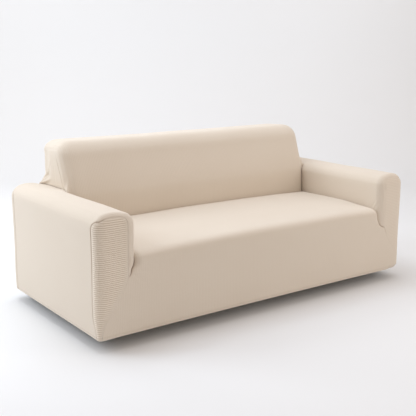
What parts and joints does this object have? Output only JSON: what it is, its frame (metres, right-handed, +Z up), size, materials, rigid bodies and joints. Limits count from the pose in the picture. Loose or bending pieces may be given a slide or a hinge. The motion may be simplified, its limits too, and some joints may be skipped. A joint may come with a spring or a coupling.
{
  "type": "sofa slipcover",
  "caption": "Fitted stretch slipcover for a three-seat sofa with box arms, hollow and open below, with ribbed arm fronts and an elastic hem.",
  "frame": {"origin": "on the inner face of the cloth under the middle of the back's top, where the sofa holds the cover up", "axes": "+Z up, -Y towards the front of the seat, +X towards the right arm as seen from the front"},
  "size_m": [2, 0.965, 0.795],
  "materials": {
    "cream_knit": "matt cream stretch knit with a fine waffle and fine ribs",
    "ribbed_knit": "matt cream stretch knit with level ribs"
  },
  "bodies": {
    "root": {"arm_cover_left": "cream_knit", "arm_cover_right": "cream_knit", "arm_facing_left": "ribbed_knit", "arm_facing_right": "ribbed_knit", "seat_and_apron": "cream_knit", "inside_back": "cream_knit", "outside_back": "cream_knit"}
  },
  "joints": []
}
